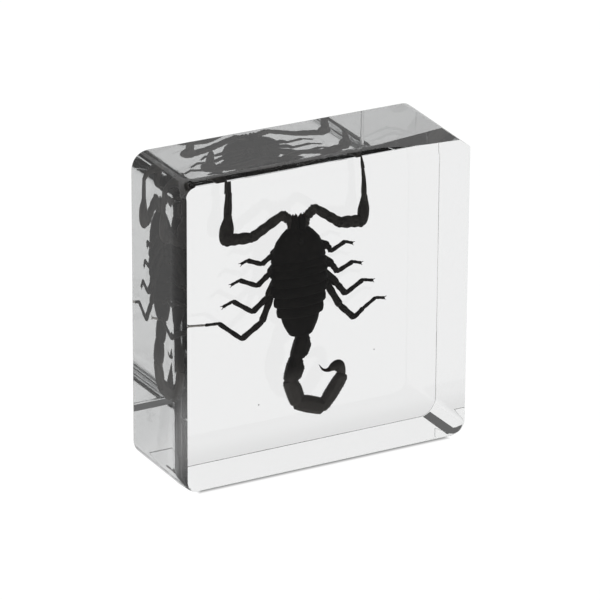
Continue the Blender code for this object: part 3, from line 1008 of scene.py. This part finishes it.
def comb_line(side, count):
    """Places along one comb's arm."""
    root = axis_point(COMB_ROOT_Z) + beside(side, COMB_ROOT)
    tip = root + beside(side, COMB_REACH)
    bow = beside(side, COMB_BOW)
    places = []
    for i in range(count):
        share = i / (count - 1)
        places.append(root.lerp(tip, share) + bow * (4 * share * (1 - share)))
    return places


def comb_guides():
    """Where the combs' teeth stand, and the way that they point."""
    guides = []
    for side in (-1, 1):
        aim = beside(side, COMB_TOOTH_AIM).normalized()
        guides += [(place, aim) for place in comb_line(side, COMB_TEETH + 2)[1:-1]]
    return guides


def tail_joints():
    """Where each tail segment starts and ends."""
    joints = [at(TAIL_ROOT[0], TAIL_Y, TAIL_ROOT[1])]
    for part in TAIL:
        joints.append(stepped(joints[-1], Run(part.length, part.heading, 0.0, part.end)))
    return joints


def tail_sizes(part, share):
    """A tail segment's reach inwards and outwards and its half width at a share of its length, in metres."""
    fullness = fullness_at(share)
    inner = part.end + (part.inner - part.end) * fullness
    outer = part.end + (part.outer - part.end) * fullness
    half_width = part.half_width * (TAIL_LEAST_WIDTH + (1 - TAIL_LEAST_WIDTH) * fullness)
    closing = TAIL_CLOSING if fullness < TAIL_CLOSED_BELOW else 1.0
    return [size * closing * MM for size in (inner, outer, half_width)]


def fullness_at(share):
    """How full a tail segment is at a share of its length."""
    for (low, first), (high, second) in zip(TAIL_FULLNESS, TAIL_FULLNESS[1:]):
        if share <= high:
            t = (share - low) / (high - low)
            return first + (second - first) * t * t * (3 - 2 * t)
    return 0.0


def add_tail(skin):
    """The five keeled tail segments and the sting."""
    joints = tail_joints()
    first = TAIL_FULLNESS[0][0]
    last = TAIL_FULLNESS[-1][0]
    for part, start, end in zip(TAIL, joints, joints[1:]):
        direction = end - start
        rings = []
        for i in range(TAIL_RINGS + 1):
            share = first + (last - first) * i / TAIL_RINGS
            relief = TAIL_KEELS if KEEL_FROM < share < KEEL_TO else ()
            centre = start + direction * share
            rings.append(cross_section(centre, direction, *tail_sizes(part, share), TAIL_SIDES, relief))
        skin.loft(rings)
        for keel in TAIL_KEELS:
            for i in range(KEEL_TEETH):
                share = KEEL_TEETH_FROM + KEEL_TEETH_SPAN * i / (KEEL_TEETH - 1)
                centre = start + direction * share
                skin.guides.append(keel_guide(centre, direction, tail_sizes(part, share), keel))
    points = [(at(x, TAIL_Y, z), radius * MM, radius * MM) for x, z, radius in STING_STEPS]
    skin.tube(points[: STING_POINT + 1], rings=24, sides=24)
    skin.tube(points[STING_POINT:], rings=12, sides=16, finish=TIP)


def keel_guide(centre, direction, sizes, keel):
    """A place on a keel and the way that its tooth points."""
    ring = cross_section(centre, direction, *sizes, 360, (keel,))
    point = ring[keel[0]]
    aim = (point - centre).normalized()
    leaning = (aim + KEEL_TOOTH_LEAN * direction.normalized()).normalized()
    return point - aim * KEEL_TOOTH_SUNK * MM, leaning


def add_pincer(skin, pincer):
    """One arm with its hand, its two fingers and their teeth."""
    start = at(*pincer.root)
    for i, run in enumerate(pincer.arm):
        end = stepped(start, run)
        ridges = ARM_RIDGES if i >= ARM_SMOOTH else ()
        skin.segment(start, end, run.radius, ARM_SHAPE, ARM_SIDES, ridges)
        if ridges:
            for place in ARM_TEETH_PLACES:
                add_row(skin, start, end, run.radius, place)
        start = end
    wrist = stepped(start, pincer.hand)
    skin.segment(start, wrist, pincer.hand.radius, HAND_SHAPE, HAND_SIDES, ARM_RIDGES)
    for side, (lower, upper) in zip((-1, 1), pincer.fingers):
        gap, bow = (at(side * x, side * y, 0) for x, y in (pincer.gap, pincer.bow))
        base = start.lerp(wrist, FINGER_FROM) + gap
        bend = stepped(base, lower)
        tip = stepped(bend, upper)
        places = (base, base.lerp(bend, 0.5) + bow, bend, bend.lerp(tip, 0.5) + bow * 0.5, tip)
        radii = [run.radius * share for run, share in zip((lower, lower, upper, upper), FINGER_SHAPE)]
        controls = rounded(places, (*radii, FINGER_TIP_RADIUS))
        skin.tube(controls, rings=26, sides=14)
        track = eased(controls, FINGER_STEPS)
        inward = -gap.normalized()
        for i in range(FINGER_TEETH):
            share = FINGER_TEETH_FROM + FINGER_TEETH_SPAN * i / (FINGER_TEETH - 1)
            place, wide, _ = track[int(FINGER_STEPS * share)]
            skin.guides.append((place + inward * wide * FINGER_TEETH_OUT, inward))


def add_row(skin, start, end, radius, place):
    """A row of teeth along one side of an arm's segment."""
    across, deep = crossing(end - start)
    out = across * cos(radians(place)) + deep * sin(radians(place))
    for i in range(ARM_TEETH):
        share = ARM_TEETH_FROM + ARM_TEETH_SPAN * i / (ARM_TEETH - 1)
        skin.guides.append((start.lerp(end, share) + out * radius * ARM_TEETH_OUT * MM, out))


def add_leg(skin, leg):
    """One leg: its hip and thigh under the carapace, its visible segments and its two claws."""
    side = 1 if leg.knee[0] > RUMP_X else -1
    root = at(leg.root[0], LEG_ROOT_Y, leg.root[1])
    knee = at(leg.knee[0], LEG_KNEE_Y, leg.knee[1])
    hip = at(HEAD_X + side * HIP_X, LEG_ROOT_Y, leg.root[1] - HIP_DROP)
    skin.segment(hip, root, HIP_RADIUS, LEG_SHAPE, LEG_SIDES)
    skin.segment(root, knee, THIGH_RADIUS, LEG_SHAPE, LEG_SIDES)
    foot = leg.runs[-1]
    start = knee
    for run in leg.runs:
        end = stepped(start, run)
        finish = leg.foot if run is foot else SHELL
        skin.segment(start, end, run.radius, LEG_SHAPE, LEG_SIDES, LEG_RIDGES, finish)
        start = end
    for side in (-1, 1):
        places = [start]
        for length, turn, step in CLAW_RUNS:
            places.append(stepped(places[-1], Run(length, foot.heading + side * turn, step, 0.0)))
        skin.tube(rounded(places[1:], CLAW_RADII), rings=8, sides=8, finish=TIP)


class Recipe:
    """A Geometry Nodes tree under construction, with named inputs. Every node comes from its node method."""

    def __init__(self, name, inputs):
        self.tree = bpy.data.node_groups.new(name, "GeometryNodeTree")
        self.tree.is_modifier = True
        self.keys = {}
        interface = self.tree.interface
        for label, kind in {"Geometry": "Geometry", **inputs, "Seed": "Int", "Finish": "Material"}.items():
            made = interface.new_socket(label, in_out="INPUT", socket_type="NodeSocket" + kind)
            self.keys[label] = made.identifier
        interface.new_socket("Geometry", in_out="OUTPUT", socket_type="NodeSocketGeometry")
        self.given = self.tree.nodes.new("NodeGroupInput").outputs
        self.result = self.tree.nodes.new("NodeGroupOutput").inputs["Geometry"]

    def node(self, kind, settings=None, inputs=None, output=0):
        """Adds a node and gives one of its outputs."""
        return pick(new_node(self.tree, kind, settings, inputs).outputs, output)

    def spread(self):
        """Points spread at random over the skin, and how each is turned."""
        given = self.given
        inputs = {"Mesh": given["Geometry"], "Density": given["Density"], "Seed": given["Seed"]}
        made = new_node(self.tree, "GeometryNodeDistributePointsOnFaces", None, inputs)
        return made.outputs["Points"], made.outputs["Rotation"]

    def cone(self, sides, tip, root):
        """A cone as long as the tree's own length."""
        inputs = {"Vertices": sides, "Radius Top": tip, "Radius Bottom": root, "Depth": self.given["Length"]}
        return self.node("GeometryNodeMeshCone", None, inputs)

    def scattered(self, points, instance, rotation, sizes):
        """Sets a copy on every point, each with a size of its own, and makes them real."""
        least, most = sizes
        size = self.node(
            "FunctionNodeRandomValue",
            {"data_type": "FLOAT"},
            {"Min_001": least, "Max_001": most, "Seed": self.given["Seed"]},
            1,
        )
        copies = self.node(
            "GeometryNodeInstanceOnPoints",
            None,
            {"Points": points, "Instance": instance, "Rotation": rotation, "Scale": size},
        )
        real = self.node("GeometryNodeRealizeInstances", None, {"Geometry": copies})
        smooth = self.node("GeometryNodeSetShadeSmooth", None, {"Geometry": real})
        painted = {"Geometry": smooth, "Material": self.given["Finish"]}
        self.tree.links.new(self.node("GeometryNodeSetMaterial", None, painted), self.result)
        return self


def teeth_recipe():
    """Teeth that stand on given points and lean the way each point says."""
    recipe = Recipe("teeth", {"Length": "Float", "Radius": "Float"})
    aim = recipe.node("GeometryNodeInputNamedAttribute", {"data_type": "FLOAT_VECTOR"}, {"Name": "aim"})
    turned = recipe.node("FunctionNodeAlignRotationToVector", {"axis": "Z"}, {"Vector": aim})
    tooth = recipe.cone(TOOTH_SIDES, TOOTH_TIP, recipe.given["Radius"])
    return recipe.scattered(recipe.given["Geometry"], tooth, turned, TOOTH_SIZES)


def grains_recipe():
    """Small round grains scattered over a skin."""
    recipe = Recipe("grains", {"Radius": "Float", "Density": "Float"})
    points, turned = recipe.spread()
    form = {"Radius": recipe.given["Radius"], "Subdivisions": GRAIN_ROUNDNESS}
    grain = recipe.node("GeometryNodeMeshIcoSphere", None, form)
    return recipe.scattered(points, grain, turned, GRAIN_SIZES)


def bristles_recipe():
    """Fine tapering bristles scattered over a skin, each leaning its own way."""
    recipe = Recipe("bristles", {"Length": "Float", "Density": "Float"})
    points, upright = recipe.spread()
    lean = recipe.node(
        "FunctionNodeRandomValue",
        {"data_type": "FLOAT_VECTOR"},
        {"Min": BRISTLE_LEAST_TURNS, "Max": BRISTLE_MOST_TURNS, "Seed": recipe.given["Seed"]},
    )
    leaning = recipe.node("FunctionNodeEulerToRotation", None, {"Euler": lean})
    turned = recipe.node(
        "FunctionNodeRotateRotation",
        {"rotation_space": "LOCAL"},
        {"Rotation": upright, "Rotate By": leaning},
    )
    bristle = recipe.cone(BRISTLE_SIDES, BRISTLE_TIP, BRISTLE_ROOT)
    return recipe.scattered(points, bristle, turned, BRISTLE_SIZES)


def grown(obj, recipe, values):
    """Runs a tree on an object and keeps the plain mesh that it makes."""
    modifier = obj.modifiers.new(recipe.tree.name, "NODES")
    modifier.node_group = recipe.tree
    for label, value in values.items():
        modifier[recipe.keys[label]] = value
    return baked(obj)


def guide_object(name, guides):
    """Loose points that carry the way their teeth lean."""
    mesh = bpy.data.meshes.new(name)
    mesh.from_pydata([place for place, _ in guides], [], [])
    aims = mesh.attributes.new("aim", "FLOAT_VECTOR", "POINT")
    for i, (_, aim) in enumerate(guides):
        aims.data[i].vector = aim
    return placed(name, mesh)


def belongs(piece):
    """Ties a piece of the scorpion to the model."""
    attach(piece, "root")
    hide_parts("scorpion")


def resin_finish(settings):
    """Clear resin, which bends light and takes up a little of it on the way."""
    finish = Finish(bpy.data.materials.new("clear_resin"))
    finish.set(
        Base_Color=(0.995, 0.995, 0.995, 1.0),
        Roughness=0.0,
        IOR=settings.bending,
        Transmission_Weight=1.0,
    )
    holding_back = {"Color": (*settings.tint, 1.0), "Density": settings.density}
    inside = finish.node("ShaderNodeVolumeAbsorption", None, holding_back, "Volume")
    feed(finish.tree, finish.output.inputs["Volume"], inside)
    return finish.made


def shell_finish(name, dark, light, roughness, lower_tone=None):
    """Dried shell: mottled, finely pitted, and duller in its pits. Below a height it may turn paler."""
    finish = Finish(bpy.data.materials.new(name))
    place = finish.node("ShaderNodeTexCoord", output="Object")
    blotches = finish.noise(place, BLOTCH_SCALE, 5.0)
    mottle = finish.noise(place, MOTTLE_SCALE, 3.0)
    pits = finish.node("ShaderNodeTexVoronoi", None, {"Vector": place, "Scale": PIT_SCALE})
    shade = (blotches * 1.6 - 0.4).math("MAXIMUM", blotches * 0.2)
    colour = finish.mixed(shade, (*dark, 1.0), (*light, 1.0))
    if lower_tone:
        z = finish.node("ShaderNodeSeparateXYZ", None, {"Vector": place}, "Z")
        lower_share = finish.ramp(z, LOWER_TONE_BELOW, SHELL_TONE_ABOVE, 1.0, 0.0)
        colour = finish.mixed(lower_share * (0.6 + 0.4 * mottle), colour, (*lower_tone, 1.0))
    relief = {"Strength": 0.5, "Distance": PIT_DEPTH, "Height": mottle * 0.6 + pits * 0.4}
    finish.set(
        Base_Color=colour,
        Roughness=roughness + 0.25 * mottle,
        Normal=finish.node("ShaderNodeBump", None, relief),
        Specular_IOR_Level=SUNK_GLOSS,
    )
    return finish.made


def streaked_finish(name, scale, detail, first, second, roughness, rougher, gloss):
    """A finish of two tones in fine streaks, duller where the second tone shows."""
    finish = Finish(bpy.data.materials.new(name))
    place = finish.node("ShaderNodeTexCoord", output="Object")
    streaks = finish.noise(place, scale, detail)
    finish.set(
        Base_Color=finish.mixed(streaks, (*first, 1.0), (*second, 1.0)),
        Roughness=roughness + rougher * streaks,
        Specular_IOR_Level=gloss,
    )
    return finish.made


def finish_called(name):
    """The shell or streaked finish of that name, made the first time that it is asked for."""
    made = bpy.data.materials.get(name)
    if made:
        return made
    if name in SHELLS:
        return shell_finish(name, *SHELLS[name])
    return streaked_finish(name, *STREAKED[name])


def dressed(name, skin, settings, seed, shell):
    """Makes a skin's piece, the bristles over it and the teeth on its guides."""
    bare = new_object(name + "_bristles", skin.bm.copy())
    finishes = [finish_called(finish) for finish in (shell, "hard_tips", "eyes", "pale_shell")]
    belongs(new_object(name, skin.bm, finishes))
    bristles = grown(
        bare,
        bristles_recipe(),
        {
            "Length": settings.bristle_length,
            "Density": settings.bristle_density,
            "Seed": seed,
            "Finish": finish_called("bristles"),
        },
    )
    belongs(bristles)
    if skin.guides:
        teeth = grown(
            guide_object(name + "_teeth", skin.guides),
            teeth_recipe(),
            {
                "Length": settings.tooth_length,
                "Radius": TOOTH_RADIUS_SHARE * settings.tooth_length,
                "Seed": seed,
                "Finish": finishes[SHELL],
            },
        )
        belongs(teeth)


class SPECIMEN_OT_resin_block(bpy.types.Operator):
    """Make the clear block that holds the scorpion"""

    bl_idname = "specimen.resin_block"
    bl_label = "Resin block"

    def execute(self, context):
        settings = context.scene.specimen_block
        block = block_mesh("resin_block", settings)
        block.data.materials.append(resin_finish(settings))
        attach(block, "root")
        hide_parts("resin_front", "resin_back")
        return {"FINISHED"}


class SPECIMEN_OT_trunk(bpy.types.Operator):
    """Make the scorpion's trunk, with its back plates, jaws, eyes, combs and grains"""

    bl_idname = "specimen.trunk"
    bl_label = "Trunk"

    def execute(self, context):
        settings = context.scene.specimen_skin
        skin = Skin()
        add_trunk(skin)
        bare = new_object("scorpion_grains", skin.bm.copy())
        add_head(skin)
        add_belly(skin)
        for place, radius in CRUMBS:
            skin.ball(at(*place), radius, squash=CRUMB_SQUASH)
        finishes = [finish_called(name) for name in ("trunk_shell", "hard_tips", "eyes")]
        trunk = new_object("scorpion_trunk", skin.bm, finishes)
        grains = grown(
            bare,
            grains_recipe(),
            {
                "Radius": settings.grain_radius,
                "Density": settings.grain_density,
                "Seed": settings.seed,
                "Finish": finishes[SHELL],
            },
        )
        teeth = grown(
            guide_object("scorpion_comb_teeth", comb_guides()),
            teeth_recipe(),
            {
                "Length": COMB_TOOTH_LENGTH,
                "Radius": COMB_TOOTH_RADIUS,
                "Seed": settings.seed,
                "Finish": finish_called("limb_shell"),
            },
        )
        for piece in (trunk, grains, teeth):
            belongs(piece)
        return {"FINISHED"}


class SPECIMEN_OT_tail(bpy.types.Operator):
    """Make the curled tail with its toothed keels, bristles and sting"""

    bl_idname = "specimen.tail"
    bl_label = "Tail"

    def execute(self, context):
        settings = context.scene.specimen_skin
        skin = Skin()
        add_tail(skin)
        dressed("scorpion_tail", skin, settings, settings.seed + 1, "tail_shell")
        return {"FINISHED"}


class SPECIMEN_OT_limbs(bpy.types.Operator):
    """Make the two pincers and the eight legs with their teeth, bristles and claws"""

    bl_idname = "specimen.limbs"
    bl_label = "Limbs"

    def execute(self, context):
        settings = context.scene.specimen_skin
        pincers = Skin()
        for pincer in PINCERS:
            add_pincer(pincers, pincer)
        dressed("scorpion_pincers", pincers, settings, settings.seed + 2, "pincer_shell")
        legs = Skin()
        for leg in LEGS:
            add_leg(legs, leg)
        dressed("scorpion_legs", legs, settings, settings.seed + 3, "limb_shell")
        return {"FINISHED"}


def add_camera():
    """The camera, at the photograph's viewing angle."""
    data = bpy.data.cameras.new("camera")
    data.lens = CAMERA_LENS
    data.sensor_width = CAMERA_SENSOR
    data.clip_start = CAMERA_NEAREST
    data.clip_end = CAMERA_FARTHEST
    camera = placed("camera", data)
    turn, tilt, roll = (radians(a) for a in (CAMERA_TURN, CAMERA_TILT, CAMERA_ROLL))
    forward = Vector((-sin(turn) * cos(tilt), cos(turn) * cos(tilt), -sin(tilt)))
    right = Vector((cos(turn), sin(turn), 0.0))
    up = right.cross(forward)
    rolled_right = right * cos(roll) + up * sin(roll)
    rolled_up = up * cos(roll) - right * sin(roll)
    pose = Matrix((rolled_right, rolled_up, -forward)).transposed().to_4x4()
    pose.translation = Vector(CAMERA_PLACE)
    camera.matrix_world = pose
    bpy.context.scene.camera = camera


def add_softbox(name, place, power):
    """A square softbox that points at the block's foot."""
    data = bpy.data.lights.new(name, "AREA")
    data.shape = "RECTANGLE"
    data.size = SOFTBOX_SIZE
    data.size_y = SOFTBOX_SIZE
    data.energy = power
    lamp = placed(name, data)
    lamp.location = Vector(place)
    lamp.rotation_mode = "QUATERNION"
    lamp.rotation_quaternion = (-Vector(place)).to_track_quat("-Z", "Y")


def add_world(glow):
    """A dim room. Only the block's outside mirrors the pale ceiling high behind it."""
    world = bpy.data.worlds.new("studio_air")
    bpy.context.scene.world = world
    air = Finish(world, "Background", "World Output")
    way = air.node("ShaderNodeTexCoord", output="Generated")
    rise = air.node("ShaderNodeSeparateXYZ", None, {"Vector": way}, "Z")
    mirrored = 1.0 - air.node("ShaderNodeLightPath", output="Transmission Depth").math("MINIMUM", 1.0)
    low, high = (sin(radians(a)) for a in (CEILING_FROM, CEILING_TO))
    ceiling = air.ramp(rise, low, high, CEILING_GLOW, glow)
    air.set(Color=(1.0, 1.0, 1.0, 1.0), Strength=glow + mirrored * (ceiling - glow))


def sweep_object(settings):
    """White paper that lies on the table and curves up behind the block."""
    half = settings.floor_size / 2
    bm = bmesh.new()
    profile = [(-half, 0.0)]
    for i in range(SWEEP_STEPS + 1):
        turn = radians(90 * i / SWEEP_STEPS)
        profile.append((SWEEP_Y - SWEEP_RADIUS * (1 - sin(turn)), SWEEP_RADIUS * (1 - cos(turn))))
    profile.append((SWEEP_Y, settings.wall_height))
    rows = [[bm.verts.new((x, y, z - AIR_GAP)) for x in (-half, half)] for y, z in profile]
    for low, high in zip(rows, rows[1:]):
        face = bm.faces.new((low[0], low[1], high[1], high[0]))
        face.smooth = True
    return new_object("white_table", bm)


def table_finish(settings):
    """White paper that glows, with painted shade right under the block, a painted contact shadow along its
    foot and a painted pool of light at its left. The block's outside mirrors it only faintly, darker in
    front.
    """
    finish = Finish(bpy.data.materials.new("white_table"))
    light = "ShaderNodeLightPath"
    straight = finish.node(light, output="Is Camera Ray")
    through = finish.node(light, output="Transmission Depth").math("MINIMUM", 1.0)
    place = finish.node("ShaderNodeTexCoord", output="Object")
    x = finish.node("ShaderNodeSeparateXYZ", None, {"Vector": place}, "X")
    y = finish.node("ShaderNodeSeparateXYZ", None, {"Vector": place}, "Y")
    off_side = x.math("ABSOLUTE") - BLOCK_SIZE.x / 2
    off_face = y.math("ABSOLUTE") - BLOCK_SIZE.y / 2
    away = off_side.math("MAXIMUM", off_face)
    # Painted shade on the paper right under the block, seen through the resin
    shaded = finish.ramp(away, 0.0, SHADE_REACH, SHADE_GLOW, 1.0)
    # A painted contact shadow along the block's foot, which the camera sees straight on
    touching = (off_side + CORNER_RADIUS).math("MAXIMUM", off_face)
    contact_shadow = finish.ramp(touching, CONTACT_FROM, CONTACT_TO, CONTACT_GLOW, 1.0, "LINEAR")
    # Painted reflection: the paper in front of the block is darker where the block's outside mirrors it
    mirrored = finish.ramp(y, MIRRORED_FROM, MIRRORED_TO, MIRRORED_FRONT, settings.glow_mirrored)
    # A painted pool of light on the paper at the block's left, which the block's outside mirrors
    pool_x, pool_y = POOL_PLACE
    to_pool = ((x - pool_x).math("POWER", 2.0) + (y - pool_y).math("POWER", 2.0)).math("SQRT")
    outside = mirrored + finish.ramp(to_pool, 0.0, POOL_REACH, POOL_GLOW, 0.0)
    indirect = through * (settings.glow_through * shaded) + (1.0 - through) * outside
    finish.set(
        Base_Color=(0.05, 0.05, 0.05, 1.0),
        Roughness=0.9,
        Specular_IOR_Level=0.0,
        Emission_Color=(1.0, 1.0, 1.0, 1.0),
        Emission_Strength=straight * contact_shadow + (1.0 - straight) * indirect,
    )
    return finish.made


class SPECIMEN_OT_studio(bpy.types.Operator):
    """Set up the white table, the lights and the camera"""

    bl_idname = "specimen.studio"
    bl_label = "Studio"

    def execute(self, context):
        settings = context.scene.specimen_studio
        table = sweep_object(settings)
        table.data.materials.append(table_finish(settings))
        add_world(settings.room_glow)
        add_softbox("key", KEY_PLACE, settings.lamp_power)
        add_softbox("fill", FILL_PLACE, FILL_SHARE * settings.lamp_power)
        add_camera()
        scene = context.scene
        scene.view_settings.view_transform = "Standard"
        scene.cycles.max_bounces = 40
        scene.cycles.glossy_bounces = 32
        scene.cycles.transmission_bounces = 32
        return {"FINISHED"}


class SPECIMEN_PT_panel(bpy.types.Panel):
    bl_label = "Specimen"
    bl_idname = "SPECIMEN_PT_panel"
    bl_space_type = "VIEW_3D"
    bl_region_type = "UI"
    bl_category = "Specimen"

    def draw(self, context):
        for operator in OPERATORS:
            self.layout.operator(operator.bl_idname)


SETTINGS = {"specimen_block": BlockSettings, "specimen_skin": SkinSettings, "specimen_studio": StudioSettings}
OPERATORS = (
    SPECIMEN_OT_resin_block,
    SPECIMEN_OT_trunk,
    SPECIMEN_OT_tail,
    SPECIMEN_OT_limbs,
    SPECIMEN_OT_studio,
)


def register():
    for made in (*SETTINGS.values(), *OPERATORS, SPECIMEN_PT_panel):
        bpy.utils.register_class(made)
    for name, group in SETTINGS.items():
        setattr(bpy.types.Scene, name, bpy.props.PointerProperty(type=group))


def unregister():
    for name in SETTINGS:
        delattr(bpy.types.Scene, name)
    for made in (SPECIMEN_PT_panel, *reversed(OPERATORS), *reversed(SETTINGS.values())):
        bpy.utils.unregister_class(made)


def main():
    register()
    bpy.ops.specimen.resin_block()
    bpy.ops.specimen.trunk()
    bpy.ops.specimen.tail()
    bpy.ops.specimen.limbs()
    bpy.ops.specimen.studio()


if __name__ == "__main__":
    main()
